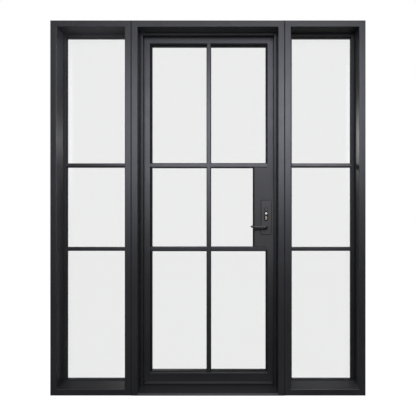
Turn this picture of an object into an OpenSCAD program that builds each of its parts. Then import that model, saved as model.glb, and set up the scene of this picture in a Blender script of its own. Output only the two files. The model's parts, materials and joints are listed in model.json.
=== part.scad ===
// Steel-framed glass entry door with a fixed sidelite on each side.
// Millimetres. +X is to the right seen from outside, +Y is to the inside, +Z is up.
// The origin is on the floor under the middle of the threshold, halfway through the frame depth.

/* [Frame] */
// Overall height of the unit
frame_h = 2225; // [2150:5:2400]
// Width of the door frame over its jambs
door_w = 910; // [860:5:1010]
// Width of each sidelite frame
side_w = 480; // [360:5:700]
// Depth of the frame tubes
frame_d = 150; // [146:1:170]
// Face width of the frame tubes
tube_face = 38; // [36:1:50]
// Wall of the steel tubes
tube_wall = 2.5; // [2:0.1:3]
// Outside corner radius of the frame tubes
tube_r = 3; // [2.5:0.5:4]
// Width of the stop that the leaf closes against
stop_w = 17; // [16:0.5:22]
// Depth of that stop
stop_d = 24; // [22:1:34]

/* [Leaf] */
// Thickness of the leaf
leaf_d = 50; // [48:1:56]
// Face width of the stiles and rails
leaf_face = 50; // [48:1:60]
// Corner radius of the leaf tubes
leaf_r = 2.5; // [2:0.5:4]
// Gap between the leaf and the jambs and head
leaf_gap = 4; // [3.5:0.5:6]
// Height of the leaf's underside
leaf_low = 46; // [44:1:56]
// Gap between the leaf and its stop
seal_gap = 6; // [5:0.5:7]

/* [Bars and glazing] */
// Height of the upper cross bars
upper_bar_z = 1380; // [1330:1:1450]
// Height of the lower cross bars
lower_bar_z = 861; // [800:1:880]
// Face width of the leaf bars
bar_w = 28; // [22:1:32]
// Chamfer on the front edges of the bars
bar_chamfer = 4; // [2:0.5:5]
// Depth of the leaf bars in front of the glass
bar_d = 16; // [12:1:18]
// Thickness of the webs between two panes
web_w = 9; // [6:0.5:10]
// Face width of the sidelite bars
side_bar_w = 22; // [20:1:30]
// Width of the fixed glazing stops of a sidelite
side_stop_w = 20; // [14:1:22]
// Width of those stops along the sill and the head
side_level_w = 15; // [14:1:22]
// Depth of the fixed glazing stops of a sidelite
side_stop_d = 20; // [16:1:24]
// Width of the inside beads of a sidelite
side_bead_w = 10; // [9:0.5:14]
// Rise of a sidelite's sill from its front edge to its stop
side_slope = 13; // [8:1:14]
// Width of the fixed glazing stops of the leaf
leaf_stop_w = 8; // [7.5:0.5:12]
// How far the leaf's glazing stops lie behind its face
leaf_stop_set = 8; // [6:0.5:10]
// Thickness of one sheet of glass
sheet_t = 5; // [4:0.5:6]
// Air space between the two sheets
air_t = 10; // [6:1:12]
// Clearance round the edge of a glass unit
edge_gap = 1.5; // [1:0.5:2]
// Width of the spacer between the sheets
spacer_w = 6; // [5:0.5:6]
// How far the inside beads lie in front of the inside faces
bead_set = 2; // [1:0.5:3]

/* [Threshold and weather parts] */
// Height of the threshold's front edge
sill_front_h = 12; // [9:1:16]
// Radius of that edge
sill_r = 8; // [4:1:8]
// Height of the threshold under the leaf
sill_h = 26; // [20:1:30]
// Width of the seal on the stop
seal_w = 10; // [8:0.5:12]
// Thickness of the seal's base
seal_base = 2; // [1.5:0.25:2.5]
// Clearance of soft seals from what they close on
seal_clear = 0.4; // [0.3:0.1:0.8]
// How far the weather bar stands out from the leaf
drip_d = 10; // [8:1:14]
// Height of the weather bar's nose
drip_nose = 7; // [5:0.5:8]
// Height of the top of its slope
drip_top = 13.5; // [12:0.5:15]
// How far the weather bar reaches under the leaf
drip_seat = 12; // [10:1:14]
// Gap between the weather bar and the threshold
drip_clear = 2; // [1.5:0.5:3]
// How far the weather bar's ends stay inside the stops
drip_inset = 4; // [4:0.5:10]
// Depth of the sweep's holder under the leaf
sweep_d = 14; // [10:1:20]
// Height of that holder
sweep_h = 9; // [6:1:10]
// Thickness of the sweep's blade
sweep_blade = 3; // [2:0.5:4]

/* [Hinges] */
// Height of the lower hinge
low_hinge_z = 300; // [250:5:400]
// Distance of the upper hinge from the top of the frame
top_hinge_drop = 295; // [200:5:400]
// Radius of a hinge barrel
hinge_r = 11; // [10:0.5:12]
// Radius of a hinge pin
pin_r = 6; // [5:0.5:7]
// Running clearance on a pin or plug, on the radius
run = 0.05; // [0.03:0.01:0.08]
// Clearance of a hinge barrel from the steel faces
hinge_clear = 0.5; // [0.5:0.1:1]
// Height of one hinge barrel
knuckle_h = 50; // [40:1:70]
// Thickness of the bearing washer between two barrels
washer_t = 3; // [2:0.5:4]
// Thickness of a hinge plate
hinge_plate_t = 4; // [3:0.5:6]
// Width of a hinge plate from the pin
hinge_plate_w = 32; // [26:1:36]

/* [Lock] */
// Distance of the lock's axis from the leaf's edge
backset = 58; // [54:1:60]
// Height of the levers
lever_z = 998; // [980:1:1060]
// Height of the cylinder above the levers
cyl_rise = 83; // [80:1:88]
// Width of a handle plate
plate_w = 60; // [52:1:62]
// Height of a handle plate
plate_h = 208; // [200:1:230]
// How far a handle plate reaches below the levers
plate_drop = 45; // [40:1:50]
// Thickness of a handle plate
plate_t = 8; // [6:0.5:10]
// Corner radius of a handle plate
plate_r = 3; // [2:0.5:6]
// Width of the lock box from the inside of the stile
box_w = 88; // [86:1:110]
// Radius of a lever's bar
grip_r = 6.5; // [6.2:0.1:8]
// Distance of a lever's grip from its plate
grip_out = 46; // [42:1:60]
// Distance of a lever's end from its axis
grip_len = 83.5; // [80:0.5:115]
// Bend radius of a lever
grip_bend = 12; // [10:0.5:16]
// Length of the straight return at a lever's end
grip_end = 6; // [4:1:12]
// Side of the square spindle
spindle_w = 8; // [7:0.5:8]
// Throw of the latch
latch_throw = 12; // [10:1:12]

/* [Hidden] */
$fn = 48;
e = 1;
flat = 0.1;
fit = 0.3;
joint = 0.2;
y0 = -frame_d / 2;
y1 = frame_d / 2;
door_x = door_w / 2;
jamb_x = door_x - tube_face;
side_out = door_x + side_w;
head_z = frame_h - tube_face;
side_in_a = door_x + tube_face;
side_in_b = side_out - tube_face;

leaf_x = jamb_x - leaf_gap;
leaf_y0 = y1 - leaf_d;
leaf_top = head_z - leaf_gap;
stile_x = leaf_x - leaf_face;
rail_top = leaf_top - leaf_face;
rail_low = leaf_low + leaf_face;
leaf_box = [-leaf_x, leaf_x, leaf_low, leaf_top];

stop_x = jamb_x - stop_w;
stop_y1 = leaf_y0 - seal_gap;
stop_y0 = stop_y1 - stop_d;

unit_t = 2 * sheet_t + air_t;
leaf_glass_y = leaf_y0 + bar_d;
bead_y1 = y1 - bead_set;
leaf_bead_d = bead_y1 - leaf_glass_y - unit_t;
bar_lip = (bar_w - web_w) / 2;
side_bead_d = 16;
side_glass_y = bead_y1 - side_bead_d - unit_t;
side_stop_y = side_glass_y - side_stop_d;
side_web = 8;
side_lip = (side_bar_w - side_web) / 2;
bar_zs = [lower_bar_z, upper_bar_z];

top_hinge_z = frame_h - top_hinge_drop;
hinge_zs = [low_hinge_z, (low_hinge_z + top_hinge_z) / 2, top_hinge_z];
pivot_x = -(leaf_x + leaf_gap / 2);
pivot_y = y1 + hinge_r + hinge_clear;
knuckle_a = washer_t / 2;
pin_head_r = 9;
pin_head_h = 4;
cap_clear = 0.3;

axis_x = leaf_x - backset;
cyl_z = lever_z + cyl_rise;
mid_y = leaf_y0 + leaf_d / 2;
box_x = stile_x - box_w;
box_wall = tube_wall;
plate_z0 = lever_z - plate_drop;
out_y = leaf_y0 - plate_t;
in_y = y1 + plate_t;

case_d = 16;
case_w = 85;
case_wall = 1.5;
case_drop = 68;
case_rise = 49;
case_z0 = lever_z - case_drop;
case_z1 = cyl_z + case_rise;
case_y0 = mid_y - case_d / 2;
front_t = tube_wall;
front_w = 22;
front_over = 10;
case_x1 = leaf_x - front_t;
case_x0 = case_x1 - case_w;

head_r = 9.5;
plug_r = 6.75;
tail_w = 12;
tail_drop = 37;
cyl_set = 1.5;
turn_r = 5;
cam_y = 5;
cam_clear = 0.3;
cam_floor = 14;
cam_gap = 0.5;
cam_r = sqrt(pow(cam_floor - cam_gap, 2) - pow(turn_r, 2));
slot_w = 23;
slot_up = 12;
slot_down = 47;

hub_r = 11;
journal_r = 9;
neck_r = 11;
neck_t = 6;
socket_t = 16;
bolt_top = 25;
bolt_low = 32;
screw_r = 2.5;
screw_head_r = 8;
screw_head_h = 3;
screw_blind = 5;

latch_h = 20;
latch_y = 12;
latch_nose = 2;
latch_tail = 14;
latch_x0 = axis_x + latch_tail;
latch_tip = leaf_x - flat;
dead_h = 34;
dead_y = 12;
dead_drop = 12;
dead_z = cyl_z - dead_drop;
dead_tail = 15;
dead_x0 = axis_x + dead_tail;
strike_drop = 60;
strike_rise = 40;
strike_z0 = lever_z - strike_drop;
strike_z1 = cyl_z + strike_rise;
strike_w = 26;
strike_t = 2.5;
strike_rim = 6;
pocket_clear = 2;

couple_end = 250;
couple_gaps = 3;
couple_zs = [for (i = [0:couple_gaps]) couple_end + i * (frame_h - 2 * couple_end) / couple_gaps];
couple_y = -30;
couple_r = 4;
couple_head_r = 7.5;
couple_head_h = 5.5;
anchor_low = 300;
anchor_drop = 275;
anchor_gaps = 3;
anchor_step = (frame_h - anchor_low - anchor_drop) / anchor_gaps;
anchor_zs = [for (i = [0:anchor_gaps]) anchor_low + i * anchor_step];
anchor_r = 4.5;

module paint() { color([0.09, 0.09, 0.1]) children(); }
module steel() { color([0.6, 0.6, 0.62]) children(); }
module rubber() { color([0.05, 0.05, 0.05]) children(); }
module glass() { color([0.8, 0.88, 0.88, 0.4]) children(); }

// A box from its two corners.
module span(a, b) {
  translate(a) cube(b - a);
}

// A rectangle with round corners, one corner at the origin.
module rounded(w, d, r) {
  translate([r, 0]) square([w - 2 * r, d]);
  translate([0, r]) square([w, d - 2 * r]);
  for (x = [r, w - r])
    for (y = [r, d - r])
      translate([x, y]) circle(r);
}

// The cross-section of a square tube.
module tube_face_2d(w, d, r) {
  difference() {
    rounded(w, d, r);
    translate([tube_wall, tube_wall])
      rounded(w - 2 * tube_wall, d - 2 * tube_wall, r - tube_wall / 2);
  }
}

// An outline drawn in X and Z, as a prism along Y.
module slab(points, ya, yb) {
  translate([0, yb, 0]) rotate([90, 0, 0]) linear_extrude(yb - ya) polygon(points);
}

// A profile drawn in Y and Z, run along X.
module along_x(xa, xb) {
  translate([xa, 0, 0]) rotate([90, 0, 90]) linear_extrude(xb - xa) children();
}

module upright_tube(xa, w, ya, d, za, zb, r) {
  translate([xa, ya, za]) linear_extrude(zb - za) tube_face_2d(w, d, r);
}

module level_tube(xa, xb, ya, d, za, w, r) {
  along_x(xa, xb) translate([ya, za]) tube_face_2d(d, w, r);
}

// One member of a mitred rectangle of tubes. b holds the outer left, right, low and top.
module left_member(b, f, ya, d, r) {
  intersection() {
    upright_tube(b[0], f, ya, d, b[2], b[3], r);
    slab([[b[0], b[2]], [b[0] + f, b[2] + f], [b[0] + f, b[3] - f], [b[0], b[3]]], ya, ya + d);
  }
}

module right_member(b, f, ya, d, r) {
  intersection() {
    upright_tube(b[1] - f, f, ya, d, b[2], b[3], r);
    slab([[b[1], b[2]], [b[1], b[3]], [b[1] - f, b[3] - f], [b[1] - f, b[2] + f]], ya, ya + d);
  }
}

module top_member(b, f, ya, d, r) {
  intersection() {
    level_tube(b[0], b[1], ya, d, b[3] - f, f, r);
    slab([[b[0], b[3]], [b[0] + f, b[3] - f], [b[1] - f, b[3] - f], [b[1], b[3]]], ya, ya + d);
  }
}

module low_member(b, f, ya, d, r) {
  intersection() {
    level_tube(b[0], b[1], ya, d, b[2], f, r);
    slab([[b[0], b[2]], [b[1], b[2]], [b[1] - f, b[2] + f], [b[0] + f, b[2] + f]], ya, ya + d);
  }
}

// Round hole along X or Y.
module hole_x(x, y, z, r, l) {
  translate([x - l / 2, y, z]) rotate([0, 90, 0]) cylinder(r = r, h = l);
}

module hole_y(x, y, z, r, l) {
  translate([x, y + l / 2, z]) rotate([90, 0, 0]) cylinder(r = r, h = l);
}

// Four strips round the inside of an opening. w holds the widths left, right, low and top.
module strips(b, w, ya, yb) {
  span([b[0], ya, b[2]], [b[0] + w[0], yb, b[3]]);
  span([b[1] - w[1], ya, b[2]], [b[1], yb, b[3]]);
  xa = b[0] + w[0] + joint;
  xb = b[1] - w[1] - joint;
  span([xa, ya, b[2]], [xb, yb, b[2] + w[2]]);
  span([xa, ya, b[3] - w[3]], [xb, yb, b[3]]);
}

// The face of a bar across its width and depth, with its front edges cut back.
function bar_face(w, d) = [
  [bar_chamfer - w / 2, 0], [w / 2 - bar_chamfer, 0], [w / 2, bar_chamfer],
  [w / 2, d], [-w / 2, d], [-w / 2, bar_chamfer]
];

module level_bar(xa, xb, ya, d, z, w) {
  along_x(xa, xb) polygon([for (p = bar_face(w, d)) [ya + p[1], z + p[0]]]);
}

function inset(b, g) = [b[0] + g, b[1] - g, b[2] + g, b[3] - g];

// The two sheets of a glass unit that fills an opening.
module sheets(b, ya) {
  g = inset(b, edge_gap);
  for (y = [ya, ya + sheet_t + air_t])
    span([g[0], y, g[2]], [g[1], y + sheet_t, g[3]]);
}

module spacer(b, ya) {
  strips(inset(b, edge_gap), [spacer_w, spacer_w, spacer_w, spacer_w], ya + sheet_t, ya + sheet_t + air_t);
}

// Openings of one sidelite, between its tubes and its webs.
side_zs = [tube_face, lower_bar_z, upper_bar_z, head_z];
function side_half(i) = (i == 0 || i == 3) ? 0 : side_web / 2;
function side_cell(i) = [
  side_in_a, side_in_b, side_zs[i] + side_half(i), side_zs[i + 1] - side_half(i + 1)
];
function side_edge(i) = (i == 0 || i == 3) ? side_bead_w : side_lip;

// Openings of the leaf, by column and row.
leaf_zs = [rail_low, lower_bar_z, upper_bar_z, rail_top];
function leaf_half(i) = (i == 0 || i == 3) ? 0 : web_w / 2;
cell_end = box_x + leaf_stop_w;
function leaf_cell(c, i) = [
  c == 0 ? -stile_x : web_w / 2,
  c == 0 ? -web_w / 2 : (i == 1 ? cell_end : stile_x),
  leaf_zs[i] + leaf_half(i), leaf_zs[i + 1] - leaf_half(i + 1)
];
function leaf_edge(i) = (i == 0 || i == 3) ? leaf_stop_w : bar_lip;

side_frame = [door_x, side_out, 0, frame_h];

// Sidelites are drawn on the right and mirrored for the left.
module side_outer_jamb() {
  difference() {
    right_member(side_frame, tube_face, y0, frame_d, tube_r);
    for (z = anchor_zs) hole_x(side_out, 0, z, anchor_r, 3 * tube_wall);
  }
}

module side_inner_jamb() {
  difference() {
    left_member(side_frame, tube_face, y0, frame_d, tube_r);
    for (z = couple_zs) hole_x(door_x, couple_y, z, couple_r + fit, 3 * tube_wall);
  }
}

module side_head() { top_member(side_frame, tube_face, y0, frame_d, tube_r); }

// A sidelite's sill tube with the slope that sheds water to the outside.
module side_sill() {
  ya = y0 + tube_r;
  za = tube_face - tube_wall / 2;
  low_member(side_frame, tube_face, y0, frame_d, tube_r);
  along_x(side_in_a, side_in_b)
    polygon([[ya, za], [side_stop_y, za], [side_stop_y, tube_face + side_slope], [ya, tube_face]]);
}

module side_stops() {
  strips([side_in_a, side_in_b, tube_face, head_z],
    [side_stop_w, side_stop_w, side_level_w, side_level_w], side_stop_y, side_glass_y);
}

module side_bars() {
  for (z = bar_zs) {
    level_bar(side_in_a + side_stop_w, side_in_b - side_stop_w, side_stop_y, side_stop_d, z, side_bar_w);
    span([side_in_a, side_glass_y, z - side_web / 2], [side_in_b, bead_y1, z + side_web / 2]);
  }
}

module side_panes() { for (i = [0:2]) sheets(side_cell(i), side_glass_y); }

module side_spacers() { for (i = [0:2]) spacer(side_cell(i), side_glass_y); }

module side_beads() {
  for (i = [0:2])
    strips(side_cell(i), [side_bead_w, side_bead_w, side_edge(i), side_edge(i + 1)],
      bead_y1 - side_bead_d, bead_y1);
}

module on_left() { mirror([1, 0, 0]) children(); }

module left_outer_jamb() { paint() on_left() side_outer_jamb(); }
module left_inner_jamb() { paint() on_left() side_inner_jamb(); }
module left_head() { paint() on_left() side_head(); }
module left_sill() { paint() on_left() side_sill(); }
module left_stops() { paint() on_left() side_stops(); }
module left_bars() { paint() on_left() side_bars(); }
module left_panes() { glass() on_left() side_panes(); }
module left_spacers() { steel() on_left() side_spacers(); }
module left_beads() { paint() on_left() side_beads(); }
module right_outer_jamb() { paint() side_outer_jamb(); }
module right_inner_jamb() { paint() side_inner_jamb(); }
module right_head() { paint() side_head(); }
module right_sill() { paint() side_sill(); }
module right_stops() { paint() side_stops(); }
module right_bars() { paint() side_bars(); }
module right_panes() { glass() side_panes(); }
module right_spacers() { steel() side_spacers(); }
module right_beads() { paint() side_beads(); }

// Door frame. Its jambs stand on the floor and meet the head on a mitre.
module plain_jamb() {
  difference() {
    intersection() {
      upright_tube(jamb_x, tube_face, y0, frame_d, 0, frame_h, tube_r);
      slab([[door_x, 0], [door_x, frame_h], [jamb_x, head_z], [jamb_x, 0]], y0, y1);
    }
    for (z = couple_zs) hole_x(door_x, couple_y, z, couple_r + fit, 3 * tube_wall);
  }
}

module hinge_jamb() { paint() mirror([1, 0, 0]) plain_jamb(); }

module strike_jamb() {
  paint() difference() {
    plain_jamb();
    span([jamb_x - e, mid_y - strike_w / 2 - fit, strike_z0 - fit],
      [jamb_x + tube_wall + flat, mid_y + strike_w / 2 + fit, strike_z1 + fit]);
  }
}

module door_head() {
  paint() intersection() {
    level_tube(-door_x, door_x, y0, frame_d, head_z, tube_face, tube_r);
    slab([[-door_x, frame_h], [-jamb_x, head_z], [jamb_x, head_z], [door_x, frame_h]], y0, y1);
  }
}

function sill_z(y) = sill_front_h + (sill_h - sill_front_h) * (y - y0) / (leaf_y0 - y0);

module sill_solid() {
  ya = y0 + sill_r;
  za = sill_z(ya) - sill_r;
  along_x(-jamb_x, jamb_x) {
    polygon([[y0, 0], [y1, 0], [y1, sill_h], [leaf_y0, sill_h], [ya, za + sill_r], [ya, za], [y0, za]]);
    intersection() {
      translate([ya, za]) circle(sill_r);
      translate([y0, za]) square(sill_r);
    }
  }
}

module threshold() {
  ya = y0 + sill_r;
  yb = y1 - tube_wall;
  paint() difference() {
    sill_solid();
    along_x(-jamb_x - e, jamb_x + e)
      polygon([[ya, tube_wall], [yb, tube_wall], [yb, sill_h - tube_wall],
        [leaf_y0, sill_h - tube_wall], [ya, sill_z(ya) - tube_wall]]);
  }
}

module side_stop() {
  difference() {
    upright_tube(stop_x, stop_w, stop_y0, stop_d, 0, head_z, tube_wall);
    sill_solid();
  }
}

module door_stops() {
  paint() {
    side_stop();
    mirror([1, 0, 0]) side_stop();
    level_tube(joint - stop_x, stop_x - joint, stop_y0, stop_d, head_z - stop_w, stop_w, tube_wall);
  }
}

bulb_r = seal_gap - seal_base - seal_clear;

module seal_2d() {
  translate([-seal_w / 2, 0]) square([seal_w, seal_base]);
  intersection() {
    translate([0, seal_base]) circle(bulb_r);
    translate([-seal_w, 0]) square([2 * seal_w, seal_gap]);
  }
}

module side_seal() {
  translate([jamb_x - stop_w / 2, stop_y1, sill_h + seal_base])
    linear_extrude(head_z - sill_h - seal_base) seal_2d();
}

module weatherstrip() {
  w = jamb_x - stop_w / 2 - seal_w / 2 - fit;
  rubber() {
    side_seal();
    mirror([1, 0, 0]) side_seal();
    along_x(-w, w) translate([stop_y1, head_z - stop_w / 2]) rotate([0, 0, -90]) seal_2d();
  }
}

module strike_holes(x, l) {
  span([x, mid_y - latch_y / 2 - pocket_clear, lever_z - latch_h / 2 - pocket_clear],
    [x + l, mid_y + latch_y / 2 + pocket_clear, lever_z + latch_h / 2 + pocket_clear]);
  span([x, mid_y - dead_y / 2 - pocket_clear, dead_z - dead_h / 2 - pocket_clear],
    [x + l, mid_y + dead_y / 2 + pocket_clear, dead_z + dead_h / 2 + pocket_clear]);
}

module strike_plate() {
  xa = jamb_x + tube_wall;
  w = strike_w / 2;
  steel() difference() {
    union() {
      span([jamb_x, mid_y - w, strike_z0], [xa, mid_y + w, strike_z1]);
      span([xa, mid_y - w - strike_rim, strike_z0 - strike_rim],
        [xa + strike_t, mid_y + w + strike_rim, strike_z1 + strike_rim]);
    }
    strike_holes(jamb_x - e, 3 * tube_wall + strike_t);
  }
}

module coupling_bolt() {
  grip = tube_wall + couple_head_h;
  hole_x(0, 0, 0, couple_r, 2 * grip);
  for (x = [-grip, tube_wall])
    translate([x, 0, 0]) rotate([0, 90, 0]) cylinder(r = couple_head_r, h = couple_head_h, $fn = 6);
}

module coupling_bolts() {
  steel() for (x = [-door_x, door_x])
    for (z = couple_zs) translate([x, couple_y, z]) coupling_bolt();
}

// Hinges, on the inside faces at the left. The frame's barrel is the lower one.
module at_hinges() { for (z = hinge_zs) translate([pivot_x, pivot_y, z]) children(); }

module hinge_half(side, za) {
  back = y1 - pivot_y;
  difference() {
    union() {
      translate([0, 0, za]) cylinder(r = hinge_r, h = knuckle_h);
      span([min(0, side * hinge_plate_w), back, za],
        [max(0, side * hinge_plate_w), back + hinge_plate_t, za + knuckle_h]);
    }
    translate([0, 0, za - e]) cylinder(r = pin_r + run, h = knuckle_h + 2 * e);
  }
}

module hinge_frame_halves() { paint() at_hinges() hinge_half(-1, -knuckle_a - knuckle_h); }

module hinge_leaf_halves() { paint() at_hinges() hinge_half(1, knuckle_a); }

module hinge_pins() {
  reach = knuckle_a + knuckle_h;
  steel() at_hinges() {
    translate([0, 0, -reach - e]) cylinder(r = pin_r, h = 2 * reach + 2 * e);
    translate([0, 0, -reach - pin_head_h]) cylinder(r = pin_head_r, h = pin_head_h);
    translate([0, 0, reach + cap_clear]) cylinder(r = pin_head_r, h = pin_head_h);
  }
}

module hinge_washers() {
  steel() at_hinges() translate([0, 0, -knuckle_a]) difference() {
    cylinder(r = hinge_r, h = washer_t);
    translate([0, 0, -e]) cylinder(r = pin_r + run, h = washer_t + 2 * e);
  }
}

// Leaf.
module hinge_stile() { paint() left_member(leaf_box, leaf_face, leaf_y0, leaf_d, leaf_r); }

module lock_stile() {
  w = front_w / 2 + fit;
  paint() difference() {
    right_member(leaf_box, leaf_face, leaf_y0, leaf_d, leaf_r);
    span([case_x1 - flat, mid_y - w, case_z0 - front_over - fit],
      [leaf_x + e, mid_y + w, case_z1 + front_over + fit]);
    span([stile_x - e, case_y0 - fit, case_z0 - fit],
      [stile_x + tube_wall + flat, case_y0 + case_d + fit, case_z1 + fit]);
    lock_bores(mid_y, leaf_d + 2 * e, neck_r, fit);
  }
}

module top_rail() { paint() top_member(leaf_box, leaf_face, leaf_y0, leaf_d, leaf_r); }

module bottom_rail() { paint() low_member(leaf_box, leaf_face, leaf_y0, leaf_d, leaf_r); }

module upright_bar() {
  translate([0, leaf_y0, rail_low]) linear_extrude(rail_top - rail_low) polygon(bar_face(bar_w, bar_d));
}

module vertical_bar() {
  paint() {
    upright_bar();
    span([-web_w / 2, leaf_glass_y, rail_low], [web_w / 2, bead_y1, rail_top]);
  }
}

// Cross bars are cut to the upright bar's face, so that the faces meet flush.
module cross_bars(z) {
  paint() {
    difference() {
      level_bar(-stile_x, stile_x, leaf_y0, bar_d, z, bar_w);
      upright_bar();
    }
    span([-stile_x, leaf_glass_y, z - web_w / 2], [-web_w / 2, bead_y1, z + web_w / 2]);
    span([web_w / 2, leaf_glass_y, z - web_w / 2], [stile_x, bead_y1, z + web_w / 2]);
  }
}

module upper_bars() { cross_bars(upper_bar_z); }

module lower_bars() { cross_bars(lower_bar_z); }

// The bores of the lock through a wall that lies across Y.
module lock_bores(y, l, axis_r, grow) {
  hole_y(axis_x, y, lever_z, axis_r, l);
  for (z = [cyl_z + bolt_top, lever_z - bolt_low]) hole_y(axis_x, y, z, screw_r + fit, l);
  translate([axis_x, y - l / 2, cyl_z]) cylinder_solid(l, grow);
}

module cylinder_solid(l, grow) {
  translate([0, l, 0]) rotate([90, 0, 0]) linear_extrude(l) {
    circle(head_r + grow);
    translate([-tail_w / 2 - grow, -tail_drop - grow]) square([tail_w + 2 * grow, tail_drop]);
  }
}

module lock_box() {
  za = lower_bar_z + bar_w / 2;
  zb = upper_bar_z - bar_w / 2;
  paint() difference() {
    union() {
      span([cell_end, leaf_y0, za], [stile_x, leaf_glass_y, zb]);
      span([cell_end, leaf_glass_y, za - bar_lip], [stile_x, y1, zb + bar_lip]);
    }
    span([cell_end + box_wall, leaf_y0 + box_wall, za + box_wall],
      [stile_x + e, y1 - box_wall, zb - box_wall]);
    lock_bores(leaf_y0, 4 * box_wall, neck_r, fit);
    lock_bores(y1, 4 * box_wall, neck_r, fit);
  }
}

module leaf_stop_bars(xa, xb, za, zb) {
  span([xa, leaf_y0 + leaf_stop_set, za], [xb, leaf_glass_y, zb]);
}

module leaf_stops() {
  lip = bar_w / 2;
  rows = [
    [rail_low, lower_bar_z - lip], [lower_bar_z + lip, upper_bar_z - lip], [upper_bar_z + lip, rail_top]
  ];
  inner = stile_x - leaf_stop_w;
  paint() {
    for (r = rows) leaf_stop_bars(-stile_x, -inner, r[0], r[1]);
    for (r = [rows[0], rows[2]]) leaf_stop_bars(inner, stile_x, r[0], r[1]);
    leaf_stop_bars(box_x, cell_end, rows[1][0], rows[1][1]);
    for (z = [rail_low, rail_top - leaf_stop_w]) {
      leaf_stop_bars(joint - inner, -lip, z, z + leaf_stop_w);
      leaf_stop_bars(lip, inner - joint, z, z + leaf_stop_w);
    }
  }
}

module leaf_row(i) { glass() for (c = [0, 1]) sheets(leaf_cell(c, i), leaf_glass_y); }

module top_panes() { leaf_row(2); }

module middle_panes() { leaf_row(1); }

module bottom_panes() { leaf_row(0); }

module leaf_spacers() {
  steel() for (c = [0, 1])
    for (i = [0:2]) spacer(leaf_cell(c, i), leaf_glass_y);
}

module leaf_beads() {
  paint() for (c = [0, 1])
    for (i = [0:2])
      strips(leaf_cell(c, i), [c == 0 ? leaf_stop_w : bar_lip, c == 0 ? bar_lip : leaf_stop_w,
        leaf_edge(i), leaf_edge(i + 1)], bead_y1 - leaf_bead_d, bead_y1);
}

module weather_bar() {
  w = stop_x - drip_inset;
  za = sill_h + drip_clear;
  yb = leaf_y0 + drip_seat;
  yn = leaf_y0 - drip_d;
  paint() along_x(-w, w)
    polygon([
      [yb, za], [yb, leaf_low], [leaf_y0, leaf_low],
      [leaf_y0, za + drip_top], [yn, za + drip_nose], [yn, za]
    ]);
}

module door_sweep() {
  w = leaf_x - leaf_gap;
  rubber() {
    span([-w, mid_y - sweep_d / 2, leaf_low - sweep_h], [w, mid_y + sweep_d / 2, leaf_low]);
    span([-w, mid_y - sweep_blade / 2, sill_h + seal_clear],
      [w, mid_y + sweep_blade / 2, leaf_low - sweep_h]);
  }
}

// Lock.
module lock_case() {
  c = case_wall;
  ya = case_y0;
  yb = case_y0 + case_d;
  steel() difference() {
    union() {
      span([case_x0, ya, case_z0], [case_x1, yb, case_z1]);
      span([case_x1, mid_y - front_w / 2, case_z0 - front_over],
        [leaf_x, mid_y + front_w / 2, case_z1 + front_over]);
    }
    span([case_x0 + c, ya + c, case_z0 + c], [case_x1 - c, yb - c, case_z1 - c]);
    lock_bores(mid_y, 2 * case_d, journal_r + run, fit);
    span([case_x1 - 2 * c, mid_y - latch_y / 2 - fit, lever_z - latch_h / 2 - fit],
      [leaf_x + e, mid_y + latch_y / 2 + fit, lever_z + latch_h / 2 + fit]);
    span([case_x1 - 2 * c, mid_y - dead_y / 2 - fit, dead_z - dead_h / 2 - fit],
      [leaf_x + e, mid_y + dead_y / 2 + fit, dead_z + dead_h / 2 + fit]);
  }
}

cyl_y0 = out_y + cyl_set;
cyl_y1 = in_y - cyl_set;

module lock_cylinder() {
  color([0.72, 0.58, 0.28]) translate([axis_x, 0, cyl_z]) difference() {
    translate([0, cyl_y0, 0]) cylinder_solid(cyl_y1 - cyl_y0, 0);
    span([-2 * head_r, mid_y - cam_y, -cam_floor], [2 * head_r, mid_y + cam_y, 2 * head_r]);
    hole_y(0, cyl_y0, 0, plug_r + run, 2 * (mid_y - cyl_y0));
    hole_y(0, cyl_y1, 0, turn_r + run, 2 * (cyl_y1 - mid_y));
  }
}

module key_plug() {
  key_w = 2.4;
  key_h = 9;
  key_in = 12;
  yb = mid_y - cam_y;
  steel() translate([axis_x, 0, cyl_z]) difference() {
    translate([0, yb, 0]) rotate([90, 0, 0]) cylinder(r = plug_r, h = yb - cyl_y0 + fit);
    span([-key_w / 2, cyl_y0 - e, -key_h / 2 - e], [key_w / 2, cyl_y0 + key_in, key_h / 2 - e]);
  }
}

module thumb_turn() {
  base_r = 11;
  base_t = 4;
  wing = [8, 14, 26];
  cam = mid_y - cam_y + cam_clear;
  cam_t = 2 * cam_y - 2 * cam_clear;
  foot = in_y + fit;
  steel() translate([axis_x, 0, cyl_z]) {
    translate([0, foot + base_t, 0]) rotate([90, 0, 0]) cylinder(r = base_r, h = base_t);
    span([-wing[0] / 2, foot + base_t, -wing[2] / 2],
      [wing[0] / 2, foot + base_t + wing[1], wing[2] / 2]);
    translate([0, foot, 0]) rotate([90, 0, 0]) cylinder(r = turn_r, h = foot - cam);
    translate([0, cam + cam_t, 0]) rotate([90, 0, 0]) cylinder(r = plug_r, h = cam_t);
    span([-cam_r, cam, -turn_r], [0, cam + cam_t, turn_r]);
  }
}

module plate_2d() {
  translate([-plate_w / 2, 0]) rounded(plate_w, plate_h, plate_r);
}

// A handle plate from its face at ya to yb.
module plate_solid(ya, yb) {
  translate([axis_x, yb, plate_z0]) rotate([90, 0, 0]) linear_extrude(yb - ya) plate_2d();
}

module outside_plate() {
  w = slot_w / 2;
  paint() difference() {
    plate_solid(out_y, leaf_y0);
    translate([axis_x, leaf_y0 + e, 0]) rotate([90, 0, 0]) linear_extrude(plate_t + 2 * e) {
      translate([-w, cyl_z - slot_down + w]) square([slot_w, slot_up + slot_down - 2 * w]);
      translate([0, cyl_z - slot_down + w]) circle(w);
      translate([0, cyl_z + slot_up - w]) circle(w);
    }
    hole_y(axis_x, mid_y - leaf_d / 2, lever_z, spindle_w, 4 * plate_t);
    hole_y(axis_x, leaf_y0, cyl_z + bolt_top, screw_r + fit, 4 * plate_t);
    hole_y(axis_x, leaf_y0, lever_z - bolt_low, screw_r + fit, 2 * screw_blind);
  }
}

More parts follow.
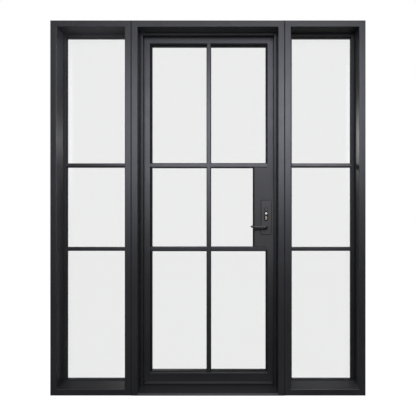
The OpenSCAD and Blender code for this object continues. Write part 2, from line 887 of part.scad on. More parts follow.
module inside_plate() {
  paint() difference() {
    plate_solid(y1, in_y);
    lock_bores(y1, 4 * plate_t, spindle_w, fit);
  }
}

// Both plates hold on two screws. Only the upper one shows a head outside.
module plate_screw(z, ya) {
  translate([axis_x, in_y, z]) rotate([90, 0, 0]) cylinder(r = screw_r, h = in_y - ya);
  translate([axis_x, in_y + screw_head_h, z]) rotate([90, 0, 0])
    cylinder(r = screw_head_r, h = screw_head_h);
}

module plate_bolts() {
  steel() {
    plate_screw(lever_z - bolt_low, leaf_y0 - screw_blind + fit);
    plate_screw(cyl_z + bolt_top, out_y - e);
    translate([axis_x, out_y, cyl_z + bolt_top]) rotate([90, 0, 0])
      cylinder(r = screw_head_r, h = screw_head_h);
  }
}

// A lever on the origin, with its plate's face at Y = 0 and the outside at -Y.
module lever_bar() {
  straight = grip_out - grip_bend;
  tip = grip_len - grip_bend;
  w = spindle_w / 2 + flat;
  difference() {
    union() {
      translate([0, -fit, 0]) rotate([90, 0, 0]) cylinder(r = neck_r, h = neck_t);
      translate([0, -fit, 0]) rotate([90, 0, 0]) cylinder(r = grip_r, h = straight - fit);
      translate([-grip_bend, -straight, 0]) rotate([0, 0, -90]) grip_elbow();
      translate([-tip, -grip_out, 0]) rotate([0, 90, 0]) cylinder(r = grip_r, h = tip - grip_bend);
      translate([-tip, -straight, 0]) rotate([0, 0, 180]) grip_elbow();
      translate([-grip_len, grip_end - straight, 0]) rotate([90, 0, 0]) cylinder(r = grip_r, h = grip_end);
    }
    span([-w, -socket_t, -w], [w, e, w]);
  }
}

module grip_elbow() { rotate_extrude(angle = 90) translate([grip_bend, 0]) circle(grip_r); }

module outside_lever() { paint() translate([axis_x, out_y, lever_z]) lever_bar(); }

module inside_lever() { paint() translate([axis_x, in_y, lever_z]) mirror([0, 1, 0]) lever_bar(); }

module spindle() {
  w = spindle_w / 2;
  in = socket_t - e;
  steel() span([axis_x - w, out_y - in, lever_z - w], [axis_x + w, in_y + in, lever_z + w]);
}

module follower() {
  c = case_wall + fit;
  w = spindle_w / 2 + flat;
  steel() translate([axis_x, 0, lever_z]) difference() {
    union() {
      hole_y(0, mid_y, 0, hub_r, case_d - 2 * c);
      hole_y(0, mid_y, 0, journal_r, case_d);
    }
    span([-w, mid_y - case_d, -w], [w, mid_y + case_d, w]);
  }
}

// The latch is drawn back, flush with the leaf's edge. Its slanted face is to the outside.
module latch_bolt() {
  w = latch_y / 2;
  steel() translate([0, mid_y, lever_z - latch_h / 2]) linear_extrude(latch_h)
    polygon([[latch_x0, -w], [latch_tip - latch_throw, -w], [latch_tip, w - latch_nose],
      [latch_tip, w], [latch_x0, w]]);
}

module dead_bolt() {
  steel() span([dead_x0, mid_y - dead_y / 2, dead_z - dead_h / 2],
    [latch_tip, mid_y + dead_y / 2, dead_z + dead_h / 2]);
}

left_outer_jamb();
left_inner_jamb();
left_head();
left_sill();
left_stops();
left_bars();
left_panes();
left_spacers();
left_beads();
right_outer_jamb();
right_inner_jamb();
right_head();
right_sill();
right_stops();
right_bars();
right_panes();
right_spacers();
right_beads();
hinge_jamb();
strike_jamb();
door_head();
threshold();
door_stops();
weatherstrip();
strike_plate();
coupling_bolts();
hinge_frame_halves();
hinge_pins();
hinge_washers();
hinge_stile();
lock_stile();
top_rail();
bottom_rail();
vertical_bar();
upper_bars();
lower_bars();
lock_box();
leaf_stops();
top_panes();
middle_panes();
bottom_panes();
leaf_spacers();
leaf_beads();
weather_bar();
door_sweep();
hinge_leaf_halves();
lock_case();
lock_cylinder();
outside_plate();
inside_plate();
plate_bolts();
outside_lever();
inside_lever();
spindle();
follower();
latch_bolt();
dead_bolt();
key_plug();
thumb_turn();
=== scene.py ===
"""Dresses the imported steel-framed glass door: materials, small fittings, floor, light and camera."""

import json
import math

import bmesh
import bpy
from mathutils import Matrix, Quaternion, Vector


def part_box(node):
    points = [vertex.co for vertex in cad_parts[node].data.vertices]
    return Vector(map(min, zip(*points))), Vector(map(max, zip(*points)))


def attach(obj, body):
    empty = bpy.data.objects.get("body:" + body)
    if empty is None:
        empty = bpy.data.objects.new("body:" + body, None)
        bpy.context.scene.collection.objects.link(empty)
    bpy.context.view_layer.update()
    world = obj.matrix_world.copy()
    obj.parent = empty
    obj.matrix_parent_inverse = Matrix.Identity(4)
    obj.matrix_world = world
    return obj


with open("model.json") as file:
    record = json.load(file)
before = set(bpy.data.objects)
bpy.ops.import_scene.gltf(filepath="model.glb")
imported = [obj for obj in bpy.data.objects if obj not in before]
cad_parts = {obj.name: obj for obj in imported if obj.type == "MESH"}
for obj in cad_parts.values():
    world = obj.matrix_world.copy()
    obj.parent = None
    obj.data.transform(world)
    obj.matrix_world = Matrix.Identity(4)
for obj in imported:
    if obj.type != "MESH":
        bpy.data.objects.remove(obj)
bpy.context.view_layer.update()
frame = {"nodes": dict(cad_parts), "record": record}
NODES = frame["nodes"]
RECORD = frame["record"]
MM = 0.001

# The photograph's frame: its side, focal length and vanishing point in pixels, and the eye in metres.
PHOTO_SIDE = 416
FOCAL_PX = 381.5
VANISH_PX = (227.0, 218.2)
EYE = (0.1132, -2.335, 1.052)
SENSOR = 36.0

QUARTER = math.radians(90)
ALONG_X = 0
ALONG_Z = 2


# Node helpers.
def new_material(name):
    mat = bpy.data.materials.new(name)
    mat.use_nodes = True
    tree = mat.node_tree
    return mat, tree, tree.nodes["Principled BSDF"]


def feed(tree, value, socket):
    """Sets a socket to a number, or links it to another node's output."""
    if isinstance(value, (int, float)):
        socket.default_value = value
    else:
        tree.links.new(value, socket)


def math_node(tree, operation, first, second):
    node = tree.nodes.new("ShaderNodeMath")
    node.operation = operation
    feed(tree, first, node.inputs[0])
    feed(tree, second, node.inputs[1])
    return node.outputs["Value"]


def texture_space(tree):
    """Object coordinates, in metres: the same at every pose."""
    return tree.nodes.new("ShaderNodeTexCoord").outputs["Object"]


def stretched(tree, space, factors):
    node = tree.nodes.new("ShaderNodeMapping")
    node.inputs["Scale"].default_value = factors
    tree.links.new(space, node.inputs["Vector"])
    return node.outputs["Vector"]


def noise(tree, space, scale, detail=2.0, roughness=0.5):
    node = tree.nodes.new("ShaderNodeTexNoise")
    node.inputs["Scale"].default_value = scale
    node.inputs["Detail"].default_value = detail
    node.inputs["Roughness"].default_value = roughness
    tree.links.new(space, node.inputs["Vector"])
    return node.outputs["Fac"]


def blend(tree, value, low, high, start=0.3, end=0.7):
    """Goes from low to high while the value goes from start to end; a number stands for a grey."""
    node = tree.nodes.new("ShaderNodeValToRGB")
    for point, position, tone in zip(node.color_ramp.elements, (start, end), (low, high)):
        point.position = position
        grey = isinstance(tone, (int, float))
        point.color = (tone, tone, tone, 1) if grey else (*tone, 1)
    tree.links.new(value, node.inputs["Fac"])
    return node.outputs["Color"]


def bump(tree, bsdf, height, strength, distance):
    node = tree.nodes.new("ShaderNodeBump")
    node.inputs["Strength"].default_value = strength
    node.inputs["Distance"].default_value = distance
    tree.links.new(height, node.inputs["Height"])
    tree.links.new(node.outputs["Normal"], bsdf.inputs["Normal"])


def emission(tree, strength=1.0):
    node = tree.nodes.new("ShaderNodeEmission")
    node.inputs["Strength"].default_value = strength
    return node.outputs["Emission"]


def mix_shaders(tree, share, first, second):
    """Mixes two shaders; share is the part of the second, a number or an output."""
    node = tree.nodes.new("ShaderNodeMixShader")
    feed(tree, share, node.inputs["Fac"])
    tree.links.new(first, node.inputs[1])
    tree.links.new(second, node.inputs[2])
    return node.outputs["Shader"]


def show(tree, shader):
    tree.links.new(shader, tree.nodes["Material Output"].inputs["Surface"])


# Black powder coats by record slot: darkest and lightest tone, range of roughness, specular level.
PAINTS = {
    "black_paint": ((0.0150, 0.0150, 0.0156), (0.0198, 0.0198, 0.0206), (0.30, 0.36), 0.375),
    "black_section": ((0.0130, 0.0130, 0.0136), (0.0170, 0.0170, 0.0178), (0.36, 0.44), 0.24),
    # black_glazing is a darker, matter copy of the coat for the glazing stops: painted shade of the recess
    # they sit in.
    "black_glazing": ((0.0060, 0.0060, 0.0063), (0.0090, 0.0090, 0.0094), (0.50, 0.60), 0.08),
    "black_trim": ((0.0135, 0.0135, 0.0141), (0.0180, 0.0180, 0.0188), (0.30, 0.38), 0.56),
}


def powder_coat(name, low, high, rough, specular):
    """Satin black powder coat: faint tone drift, fine orange peel, and a gloss that varies a little."""
    mat, tree, bsdf = new_material(name)
    space = texture_space(tree)
    drift = noise(tree, space, scale=3.0, detail=4.0)
    tree.links.new(blend(tree, drift, low, high), bsdf.inputs["Base Color"])
    gloss = noise(tree, space, scale=14.0, detail=5.0, roughness=0.6)
    tree.links.new(blend(tree, gloss, *rough), bsdf.inputs["Roughness"])
    peel = noise(tree, space, scale=900.0, detail=1.0)
    bump(tree, bsdf, peel, strength=0.02, distance=0.1 * MM)
    bsdf.inputs["Specular IOR Level"].default_value = specular
    return mat


# Bare metals by record slot: darkest and lightest tone, range of roughness, stretch of the brush lines.
METALS = {
    "spacer": ((0.05, 0.05, 0.052), (0.09, 0.09, 0.092), (0.35, 0.50), (0.2, 1.0, 0.2)),
    "nickel": ((0.42, 0.415, 0.40), (0.50, 0.495, 0.48), (0.24, 0.36), (1.0, 1.0, 0.1)),
    "steel": ((0.42, 0.42, 0.43), (0.55, 0.55, 0.56), (0.28, 0.42), (0.1, 1.0, 1.0)),
    "brass": ((0.15, 0.125, 0.09), (0.21, 0.18, 0.13), (0.34, 0.48), (1.0, 1.0, 0.15)),
}


def metal(name, low, high, rough, brushing):
    """Bare metal with a tone that drifts and fine brush lines."""
    mat, tree, bsdf = new_material(name)
    space = texture_space(tree)
    tone = noise(tree, space, scale=60.0, detail=3.0)
    tree.links.new(blend(tree, tone, low, high), bsdf.inputs["Base Color"])
    lines = noise(tree, stretched(tree, space, brushing), scale=1000.0)
    tree.links.new(blend(tree, lines, *rough, start=0.25, end=0.75), bsdf.inputs["Roughness"])
    bump(tree, bsdf, lines, strength=0.08, distance=0.1 * MM)
    bsdf.inputs["Metallic"].default_value = 1.0
    return mat


GLASS_TINT = (0.98, 0.981, 0.981, 1)
GLASS_IOR = 1.5
GLASS_SHADOW = (0.92, 0.92, 0.92, 1)
SMEAR_ROUGHNESS = 0.02


def glass():
    """Clear sheet glass with faint smears. Shadow rays go straight through it."""
    mat, tree, bsdf = new_material("glass")
    smears = noise(tree, texture_space(tree), scale=6.0, detail=6.0, roughness=0.65)
    haze = blend(tree, smears, 0.0, SMEAR_ROUGHNESS, start=0.45, end=0.9)
    tree.links.new(haze, bsdf.inputs["Roughness"])
    bsdf.inputs["Base Color"].default_value = GLASS_TINT
    bsdf.inputs["Transmission Weight"].default_value = 1.0
    bsdf.inputs["IOR"].default_value = GLASS_IOR
    clear = tree.nodes.new("ShaderNodeBsdfTransparent")
    clear.inputs["Color"].default_value = GLASS_SHADOW
    shadow = tree.nodes.new("ShaderNodeLightPath").outputs["Is Shadow Ray"]
    show(tree, mix_shaders(tree, shadow, bsdf.outputs["BSDF"], clear.outputs["BSDF"]))
    return mat


RUBBER_TONES = (0.006, 0.012)
RUBBER_ROUGHNESS = 0.75
RUBBER_SPECULAR = 0.15


def rubber():
    """Matt black rubber with a fine grain and a dusty drift of tone."""
    mat, tree, bsdf = new_material("rubber")
    space = texture_space(tree)
    dust = noise(tree, space, scale=25.0, detail=5.0, roughness=0.65)
    tree.links.new(blend(tree, dust, *RUBBER_TONES, end=0.75), bsdf.inputs["Base Color"])
    bsdf.inputs["Roughness"].default_value = RUBBER_ROUGHNESS
    bsdf.inputs["Specular IOR Level"].default_value = RUBBER_SPECULAR
    grain = noise(tree, space, scale=1500.0)
    bump(tree, bsdf, grain, strength=0.15, distance=0.2 * MM)
    return mat


MATERIALS = {"glass": glass(), "rubber": rubber()}
MATERIALS.update({name: powder_coat(name, *look) for name, look in PAINTS.items()})
MATERIALS.update({name: metal(name, *look) for name, look in METALS.items()})


def paint_nodes():
    for part in RECORD["subparts"]:
        slots = NODES[part["node"]].data.materials
        slots.clear()
        slots.append(MATERIALS[part["material_slot"]])


# Sharp-edged strips and plates get a small radius on their edges, as folded and cut steel has.
EDGE_R = 0.6 * MM
EDGE_STEPS = 2
EDGE_ANGLE = math.radians(40)
MERGE_REACH = 0.01 * MM
EDGED = ["left_stops", "right_stops", "left_bars", "right_bars", "left_beads", "right_beads",
         "threshold", "strike_plate", "hinge_frame_halves", "hinge_leaf_halves",
         "vertical_bar", "upper_bars", "lower_bars", "leaf_stops", "leaf_beads", "weather_bar",
         "outside_plate", "inside_plate", "plate_bolts", "thumb_turn", "latch_bolt", "dead_bolt"]


def soften_edges():
    for name in EDGED:
        obj = NODES[name]
        weld = obj.modifiers.new("weld", "WELD")
        weld.merge_threshold = MERGE_REACH
        edge = obj.modifiers.new("edge", "BEVEL")
        edge.width = EDGE_R
        edge.segments = EDGE_STEPS
        edge.limit_method = "ANGLE"
        edge.angle_limit = EDGE_ANGLE
        obj.modifiers.new("even", "WEIGHTED_NORMAL")


# Small fittings, each one mesh that rides on a body.
def fitting(name, body, slot, solids):
    """One mesh from a list of (points, faces) solids."""
    points, faces = [], []
    for solid_points, solid_faces in solids:
        start = len(points)
        points += solid_points
        faces += [tuple(start + k for k in face) for face in solid_faces]
    mesh = bpy.data.meshes.new(name)
    mesh.from_pydata(points, [], faces)
    shell = bmesh.new()
    shell.from_mesh(mesh)
    bmesh.ops.recalc_face_normals(shell, faces=shell.faces)
    shell.to_mesh(mesh)
    shell.free()
    obj = bpy.data.objects.new(name, mesh)
    bpy.context.scene.collection.objects.link(obj)
    mesh.materials.append(MATERIALS[slot])
    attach(obj, body)


def middle(node):
    low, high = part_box(node)
    return (low + high) / 2


def spaced(low, high, count):
    return [low + (high - low) * (k + 0.5) / count for k in range(count)]


def prism(outline, axis, low, high):
    """A solid from an outline across the two other axes, taken in x, y, z order."""
    points = []
    for level in (low, high):
        for first, second in outline:
            point = [first, second]
            point.insert(axis, level)
            points.append(tuple(point))
    n = len(outline)
    sides = [(k, (k + 1) % n, n + (k + 1) % n, n + k) for k in range(n)]
    return points, [tuple(range(n))[::-1], tuple(range(n, 2 * n))] + sides


# A button head with a hex socket: radius and height of its rings, in head radii.
HEAD_RINGS = [(1.0, 0.0), (1.0, 0.12), (0.86, 0.36), (0.62, 0.5)]
SOCKET_RINGS = [(0.42, 0.5), (0.42, 0.15)]
HEAD_SIDES = 24
HEX = math.radians(60)


def screw_head(spot, axis, radius, rise=1.0):
    turn = Vector(axis).to_track_quat("Z", "Y")
    rings = [(r, h, False) for r, h in HEAD_RINGS] + [(r, h, True) for r, h in SOCKET_RINGS]
    points = []
    for reach, height, hexed in rings:
        for k in range(HEAD_SIDES):
            angle = math.tau * k / HEAD_SIDES
            r = reach * math.cos(HEX / 2) / math.cos(angle % HEX - HEX / 2) if hexed else reach
            local = Vector((r * math.cos(angle), r * math.sin(angle), height * rise)) * radius
            points.append(tuple(Vector(spot) + turn @ local))
    n = HEAD_SIDES
    faces = [tuple(range(n))[::-1]]
    for level in range(len(rings) - 1):
        low = level * n
        faces += [(low + k, low + (k + 1) % n, low + n + (k + 1) % n, low + n + k) for k in range(n)]
    faces.append(tuple(range(len(points) - n, len(points))))
    return points, faces


# Sealant in the grooves where the sidelites are coupled to the door frame.
SEAL_HALF = 3.2 * MM
SEAL_PROUD = 0.1 * MM
SEAL_DEPTH = 0.8 * MM
SEAL_END = 2.0 * MM


def groove_fill(x, face, inward, half, proud, low_z, high_z):
    """A strip in the groove between two upright tubes; inward is the way from the face into the tubes."""
    root = half / 3
    ya = face - inward * proud
    yb = ya + inward * SEAL_DEPTH
    outline = [(x - half, ya), (x + half, ya), (x + root, yb), (x - root, yb)]
    return prism(outline, ALONG_Z, low_z, high_z)


def joint_seals():
    low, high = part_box("hinge_jamb")
    za, zb = low.z + SEAL_END, high.z - SEAL_END
    solids = []
    for x in (low.x, -low.x):
        for face, inward in ((low.y, 1), (high.y, -1)):
            solids.append(groove_fill(x, face, inward, SEAL_HALF, SEAL_PROUD, za, zb))
    fitting("joint_seals", "frame", "rubber", solids)


# The lock box is welded to its stile, and the weld is filled and sanded flush.
WELD_HALF = 2.5 * MM
WELD_PROUD = 0.02 * MM


def lock_weld():
    """Strips on both faces, above and below the lock plates."""
    low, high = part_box("lock_box")
    plate_low, plate_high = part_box("outside_plate")
    solids = []
    for face, inward in ((low.y, 1), (high.y, -1)):
        for za, zb in ((low.z, plate_low.z), (plate_high.z, high.z)):
            solids.append(groove_fill(high.x, face, inward, WELD_HALF, WELD_PROUD, za, zb))
    fitting("lock_weld", "leaf", "black_paint", solids)


# Black rubber rings round the lock plates, the upper bolt and the cylinder's face: painted shade, dark
# rings put where these parts' shadow lines fall.
CORNER_STEPS = 8
SHADE_RING_T = 0.6 * MM
SHADE_RING_REACH = 3.0 * MM
PLATE_R = 3.0 * MM
BOLT_R = 8.1 * MM
BOLT_REACH = 3.2 * MM
PLUG_R = 6.9 * MM
LUG_HALF = (6.5 * MM, 13.5 * MM)
LUG_DROP = 28.0 * MM
FACE_REACH = 4.4 * MM
FACE_GAP = 0.05 * MM


def rounded(centre, half_w, half_h, radius):
    """An outline in x and z with round corners. With a full radius it is a slot or a circle."""
    outline = []
    for quarter, (right, up) in enumerate([(1, 1), (-1, 1), (-1, -1), (1, -1)]):
        x = centre[0] + right * (half_w - radius)
        z = centre[1] + up * (half_h - radius)
        for k in range(CORNER_STEPS):
            angle = QUARTER * (quarter + (k + 0.5) / CORNER_STEPS)
            outline.append((x + radius * math.cos(angle), z + radius * math.sin(angle)))
    return outline


def shade_ring(centre, half, radius, reach, ya, yb):
    """A flat ring round such an outline, as wide as its reach, between two depths."""
    half_w, half_h = half
    inner = rounded(centre, half_w, half_h, radius)
    outer = rounded(centre, half_w + reach, half_h + reach, radius + reach)
    rings = [(outer, ya), (outer, yb), (inner, yb), (inner, ya)]
    points = []
    for outline, y in rings:
        points += [(x, y, z) for x, z in outline]
    n = len(inner)
    faces = []
    for row in range(len(rings)):
        a, b = row * n, (row + 1) % len(rings) * n
        faces += [(a + k, a + (k + 1) % n, b + (k + 1) % n, b + k) for k in range(n)]
    return points, faces


def lock_shade_rings():
    # The rings are painted shade: dark rubber standing in for the shadow lines round the plates, the bolt
    # and the plug.
    solids = []
    for node, out in (("outside_plate", -1), ("inside_plate", 1)):
        low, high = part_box(node)
        spot = middle(node)
        back = high.y if out < 0 else low.y
        half = ((high.x - low.x) / 2, (high.z - low.z) / 2)
        solids.append(shade_ring((spot.x, spot.z), half, PLATE_R, SHADE_RING_REACH, back + out * SHADE_RING_T, back))
    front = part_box("outside_plate")[0].y
    x, bolt_z = middle("plate_bolts").x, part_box("plate_bolts")[1].z - BOLT_R
    solids.append(shade_ring((x, bolt_z), (BOLT_R, BOLT_R), BOLT_R, BOLT_REACH, front - SHADE_RING_T, front))
    plug_z = middle("key_plug").z
    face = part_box("lock_cylinder")[0].y - FACE_GAP
    solids.append(shade_ring((x, plug_z), (PLUG_R, PLUG_R), PLUG_R, FACE_REACH, face - SHADE_RING_T, face))
    lug = (x, plug_z - LUG_DROP)
    solids.append(shade_ring(lug, LUG_HALF, LUG_HALF[0], FACE_REACH, face - SHADE_RING_T + FACE_GAP, face))
    fitting("lock_shade_rings", "leaf", "rubber", solids)


# A sloped fillet sheds water from the foot of the lowest panes.
FILLET_D = 5.5 * MM
FILLET_H = 4.6 * MM
FILLET_LIFT = 0.1 * MM


def pane_fillets():
    low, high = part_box("leaf_stops")
    bar_low, bar_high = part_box("vertical_bar")
    back = low.y
    foot = low.z + FILLET_LIFT
    outline = [(back - FILLET_D, foot), (back, foot), (back, foot + FILLET_H)]
    solids = [prism(outline, ALONG_X, low.x, bar_low.x), prism(outline, ALONG_X, bar_high.x, high.x)]
    fitting("pane_fillets", "leaf", "black_section", solids)


# Screws that hold the inside beads, the strike plate and the lock's front plate.
BEAD_SCREW_R = 2.2 * MM
BEAD_SCREWS = 3
PANE_ROWS = 3
LEAF_BEAD_MID = 4.0 * MM
SIDE_BEAD_MID = 5.0 * MM
BAR_BEAD_MID = 9.3 * MM
PLATE_SCREW_R = 3.5 * MM
PLATE_SCREW_RISE = 0.15
PLATE_END = 6.0 * MM


def bead_screws(name, body, node, columns):
    """Screws along the upright beads; columns lists their x in each row of panes, from the lowest."""
    low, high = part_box(node)
    levels = [low.z, middle("lower_bars").z, middle("upper_bars").z, high.z]
    solids = []
    for row, xs in enumerate(columns):
        for z in spaced(levels[row], levels[row + 1], BEAD_SCREWS):
            solids += [screw_head((x, high.y, z), (0, 1, 0), BEAD_SCREW_R) for x in xs]
    fitting(name, body, "black_trim", solids)


def plate_screws(name, body, node, side):
    """Countersunk screws near both ends of a plate that faces along X."""
    low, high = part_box(node)
    x = high.x if side > 0 else low.x
    spots = [(x, middle(node).y, z) for z in (low.z + PLATE_END, high.z - PLATE_END)]
    solids = [screw_head(spot, (side, 0, 0), PLATE_SCREW_R, PLATE_SCREW_RISE) for spot in spots]
    fitting(name, body, "steel", solids)


def all_screws():
    for side in ("left", "right"):
        low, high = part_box(side + "_beads")
        row = [low.x + SIDE_BEAD_MID, high.x - SIDE_BEAD_MID]
        bead_screws(side + "_bead_screws", "frame", side + "_beads", [row] * PANE_ROWS)
    low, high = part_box("leaf_beads")
    row = [low.x + LEAF_BEAD_MID, -BAR_BEAD_MID, BAR_BEAD_MID]
    edges = [high.x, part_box("lock_box")[0].x, high.x]
    bead_screws("leaf_bead_screws", "leaf", "leaf_beads", [row + [x - LEAF_BEAD_MID] for x in edges])
    plate_screws("strike_screws", "frame", "strike_plate", -1)
    plate_screws("lock_screws", "leaf", "lock_case", 1)


# Background, floor, light and camera.
def ray_kinds(tree):
    """Two switches. The first is 1 for rays that show the background: seen, mirrored, or seen straight
    through glass. The second is 1 for rays that were mirrored and then pass through glass."""
    path = tree.nodes.new("ShaderNodeLightPath")
    passing = path.outputs["Is Transmission Ray"]
    straight = math_node(tree, "LESS_THAN", path.outputs["Glossy Depth"], 0.5)
    through = math_node(tree, "MULTIPLY", passing, straight)
    mirrored = math_node(tree, "GREATER_THAN", path.outputs["Is Glossy Ray"], passing)
    direct = math_node(tree, "MAXIMUM", path.outputs["Is Camera Ray"], mirrored)
    shown = math_node(tree, "MAXIMUM", direct, through)
    return shown, math_node(tree, "SUBTRACT", passing, through)


WHITE = (1, 1, 1, 1)
ROOM_TINT = (0.99, 0.99, 1.0, 1)
ROOM_LIGHT = 0.2


def background(tree, colour, strength=1.0):
    node = tree.nodes.new("ShaderNodeBackground")
    node.inputs["Color"].default_value = colour
    node.inputs["Strength"].default_value = strength
    return node.outputs["Background"]


def make_world():
    """White for the rays that show the background, and a dim room for the rest."""
    world = bpy.data.worlds.new("studio")
    world.use_nodes = True
    tree = world.node_tree
    tree.nodes.clear()
    room = background(tree, ROOM_TINT, ROOM_LIGHT)
    white = background(tree, WHITE)
    shown, _ = ray_kinds(tree)
    out = tree.nodes.new("ShaderNodeOutputWorld")
    tree.links.new(mix_shaders(tree, shown, room, white), out.inputs["Surface"])
    bpy.context.scene.world = world


MATT_ROUGHNESS = 0.9


def matt_material(name, tone):
    """A grey without gloss, for the stage."""
    mat, tree, bsdf = new_material(name)
    bsdf.inputs["Base Color"].default_value = (tone, tone, tone, 1)
    bsdf.inputs["Roughness"].default_value = MATT_ROUGHNESS
    bsdf.inputs["Specular IOR Level"].default_value = 0.0
    return mat, tree, bsdf.outputs["BSDF"]


def stage_plane(name, mat, low, high):
    """A flat rectangle between two corners that share one coordinate."""
    axis = min(range(3), key=lambda k: abs(high[k] - low[k]))
    a, b = [k for k in range(3) if k != axis]
    corners = []
    for first, second in ((low, low), (high, low), (high, high), (low, high)):
        corner = list(low)
        corner[a], corner[b] = first[a], second[b]
        corners.append(corner)
    mesh = bpy.data.meshes.new(name)
    mesh.from_pydata(corners, [], [(0, 1, 2, 3)])
    mesh.materials.append(mat)
    plane = bpy.data.objects.new(name, mesh)
    bpy.context.scene.collection.objects.link(plane)
    return plane


# How the floor looks: its own tone, its white where it is shown, and its light to rays mirrored in glass.
FLOOR_HALF = 9.0
FLOOR_DROP = 0.2 * MM
FLOOR_TONE = 0.6
FLOOR_WHITE = 0.99
FLOOR_BEYOND = 0.15


def make_floor():
    """A pale floor that meets the white background."""
    mat, tree, lit = matt_material("floor", FLOOR_TONE)
    shown, beyond = ray_kinds(tree)
    dimmed = mix_shaders(tree, beyond, lit, emission(tree, FLOOR_BEYOND))
    share = math_node(tree, "MULTIPLY", shown, FLOOR_WHITE)
    show(tree, mix_shaders(tree, share, dimmed, emission(tree)))
    half = FLOOR_HALF
    stage_plane("floor", mat, (-half, -half, -FLOOR_DROP), (half, half, -FLOOR_DROP))


FLAG_TONE = 0.02
FLAG_SIZE = 6.0
FLAG_LIFT = 0.5 * MM
FLAG_END = -0.076


def make_flags():
    """Dark cards before the door, as a studio sets them, that only the gloss of the paint shows."""
    mat, _, _ = matt_material("flag", FLAG_TONE)
    size = FLAG_SIZE
    low_flag = stage_plane("low_flag", mat, (-size, -size, FLAG_LIFT), (size, FLAG_END, FLAG_LIFT))
    back_flag = stage_plane("back_flag", mat, (-size, -size, FLAG_LIFT), (size, -size, size))
    for flag in (low_flag, back_flag):
        flag.visible_camera = False
        flag.visible_diffuse = False
        flag.visible_transmission = False
        flag.visible_shadow = False


def softbox(name, place, aim, size, power, tint, roll=0.0):
    data = bpy.data.lights.new(name, "AREA")
    data.shape = "RECTANGLE"
    data.size, data.size_y = size
    data.energy = power
    data.color = tint
    lamp = bpy.data.objects.new(name, data)
    lamp.location = place
    facing = (Vector(aim) - Vector(place)).to_track_quat("-Z", "Y")
    lamp.rotation_euler = (facing @ Quaternion((0, 0, 1), math.radians(roll))).to_euler()
    lamp.visible_camera = False
    lamp.visible_transmission = False
    bpy.context.scene.collection.objects.link(lamp)
    return lamp


def receivers(lamp, names, state):
    """Keeps a lamp to some pieces with the state INCLUDE, or off them with EXCLUDE."""
    group = bpy.data.collections.new(lamp.name + "_receivers")
    for name in names:
        group.objects.link(bpy.data.objects[name])
    for member in group.collection_objects:
        member.light_linking.link_state = state
    lamp.light_linking.receiver_collection = group


COOL = (0.87, 0.88, 1.0)
PLAIN = (1.0, 1.0, 1.0)

# Softboxes: place, aim, size in metres, watts, tint, roll in degrees.
SOFTBOXES = {
    "front_softbox": ((0.28, -4.1, 2.7), (0.1, 0.0, 1.75), (4.1, 1.94), 190, COOL, 5.5),
    "lock_softbox": ((0.28, -4.1, 3.02), (0.1, 0.0, 1.75), (4.1, 1.94), 155, COOL, 5.5),
    "low_softbox": ((0.28, -4.1, 1.35), (0.1, 0.0, 1.35), (4.1, 0.7), 20, COOL, 5.5),
    "top_softbox": ((0.6, -0.6, 4.4), (0.0, 0.0, 0.0), (3.0, 3.0), 40, PLAIN, 0.0),
    "side_softbox": ((-0.8, 3.0, 2.15), (0.0, 0.0, 1.4), (0.7, 0.4), 20, PLAIN, 0.0),
}

# The pieces that a softbox lights alone, or that are kept out of its light.
PANES = ["left_panes", "right_panes", "top_panes", "middle_panes", "bottom_panes"]
LOCK_SIDE = ["lock_stile", "lock_box", "outside_plate", "lock_weld"]
STRIPS = ["left_stops", "right_stops", "leaf_stops", "left_beads", "right_beads", "leaf_beads"]
SOFTBOX_PIECES = {
    # The lock's painted-shade rings are kept out of the front softbox so that they stay dark.
    "front_softbox": (PANES + LOCK_SIDE + ["door_stops", "lock_shade_rings"], "EXCLUDE"),
    "lock_softbox": (LOCK_SIDE + ["door_stops"], "INCLUDE"),
    "low_softbox": (PANES + LOCK_SIDE + ["outside_lever"], "EXCLUDE"),
    "top_softbox": (PANES, "EXCLUDE"),
    "side_softbox": (PANES + STRIPS, "EXCLUDE"),
}

# Weak strips close to a few pieces, which no gloss shows: pieces, place, aim, size in metres, watts, tint.
STRIP_Y = -0.03
REVEAL_STRIPS = [
    (["left_outer_jamb"], (-0.65, STRIP_Y, 2.0), (-0.9, STRIP_Y, 2.0), (0.03, 0.35), 1.55, COOL),
    (["left_outer_jamb"], (-0.71, STRIP_Y, 1.53), (-0.9, STRIP_Y, 1.53), (0.03, 0.08), 1.8, PLAIN),
    (["left_outer_jamb"], (-0.53, STRIP_Y, 0.9), (-0.9, STRIP_Y, 0.9), (0.03, 1.2), 1.5, PLAIN),
    (["left_head"], (-0.69, STRIP_Y, 2.0), (-0.69, STRIP_Y, 2.2), (0.3, 0.03), 0.6, COOL),
    (["left_stops"], (-0.69, -0.06, 2.05), (-0.69, 0.01, 2.165), (0.3, 0.03), 0.55, COOL),
    (["door_head"], (0.0, STRIP_Y, 2.0), (0.0, STRIP_Y, 2.2), (0.8, 0.03), 0.45, COOL),
    (["right_sill"], (0.69, STRIP_Y, 0.25), (0.69, STRIP_Y, 0.0), (0.3, 0.03), 0.75, PLAIN),
    (["right_bars"], (0.69, -0.15, 1.42), (0.69, 0.0, 1.40), (0.4, 0.03), 1.1, PLAIN),
    (LOCK_SIDE, (0.36, -0.5, 1.13), (0.36, 0.0, 0.95), (0.06, 0.06), 6.0, PLAIN),
]


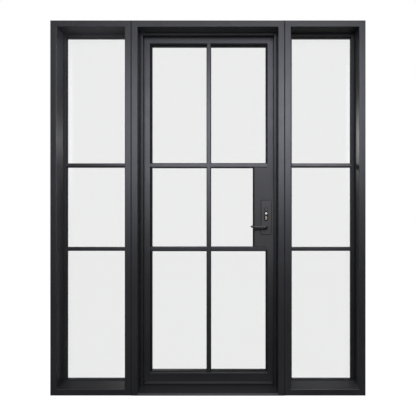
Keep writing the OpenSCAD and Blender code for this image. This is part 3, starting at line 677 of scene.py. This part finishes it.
def make_lights():
    for name, setting in SOFTBOXES.items():
        lamp = softbox(name, *setting)
        receivers(lamp, *SOFTBOX_PIECES[name])
    for names, *setting in REVEAL_STRIPS:
        lamp = softbox(names[0] + "_strip", *setting)
        lamp.visible_glossy = False
        receivers(lamp, names, "INCLUDE")


SHEET_TONE = 0.8
SHEET_WHITE = 0.75
SHEET_SUN = 4.6
SHEET_SUN_ANGLE = math.radians(8)
SHEET_SUN_WAY = (0.0, 1.0, -1.2)


def make_shadow_sheet():
    """A white sheet on the floor that only the camera sees. It shows the object's shadow, from a sun that
    lights nothing else."""
    mat, tree, lit = matt_material("shadow_sheet", SHEET_TONE)
    show(tree, mix_shaders(tree, SHEET_WHITE, lit, emission(tree)))
    half, z = FLOOR_HALF, -FLOOR_DROP / 2
    sheet = stage_plane("shadow_sheet", mat, (-half, -half, z), (half, half, z))
    sheet.visible_diffuse = False
    sheet.visible_glossy = False
    sheet.visible_transmission = False
    sheet.visible_shadow = False
    data = bpy.data.lights.new("sheet_sun", "SUN")
    data.energy = SHEET_SUN
    data.angle = SHEET_SUN_ANGLE
    sun = bpy.data.objects.new("sheet_sun", data)
    sun.rotation_euler = Vector(SHEET_SUN_WAY).to_track_quat("-Z", "Y").to_euler()
    bpy.context.scene.collection.objects.link(sun)
    receivers(sun, ["shadow_sheet"], "INCLUDE")


def make_camera():
    data = bpy.data.cameras.new("camera")
    data.sensor_width = SENSOR
    data.lens = FOCAL_PX / PHOTO_SIDE * SENSOR
    data.shift_x = 0.5 - VANISH_PX[0] / PHOTO_SIDE
    data.shift_y = VANISH_PX[1] / PHOTO_SIDE - 0.5
    camera = bpy.data.objects.new("camera", data)
    camera.location = EYE
    camera.rotation_euler = (QUARTER, 0, 0)
    bpy.context.scene.collection.objects.link(camera)
    bpy.context.scene.camera = camera


paint_nodes()
soften_edges()
joint_seals()
lock_weld()
lock_shade_rings()
pane_fillets()
all_screws()
make_world()
make_floor()
make_flags()
make_lights()
make_shadow_sheet()
make_camera()
bpy.context.scene.view_settings.view_transform = "Standard"
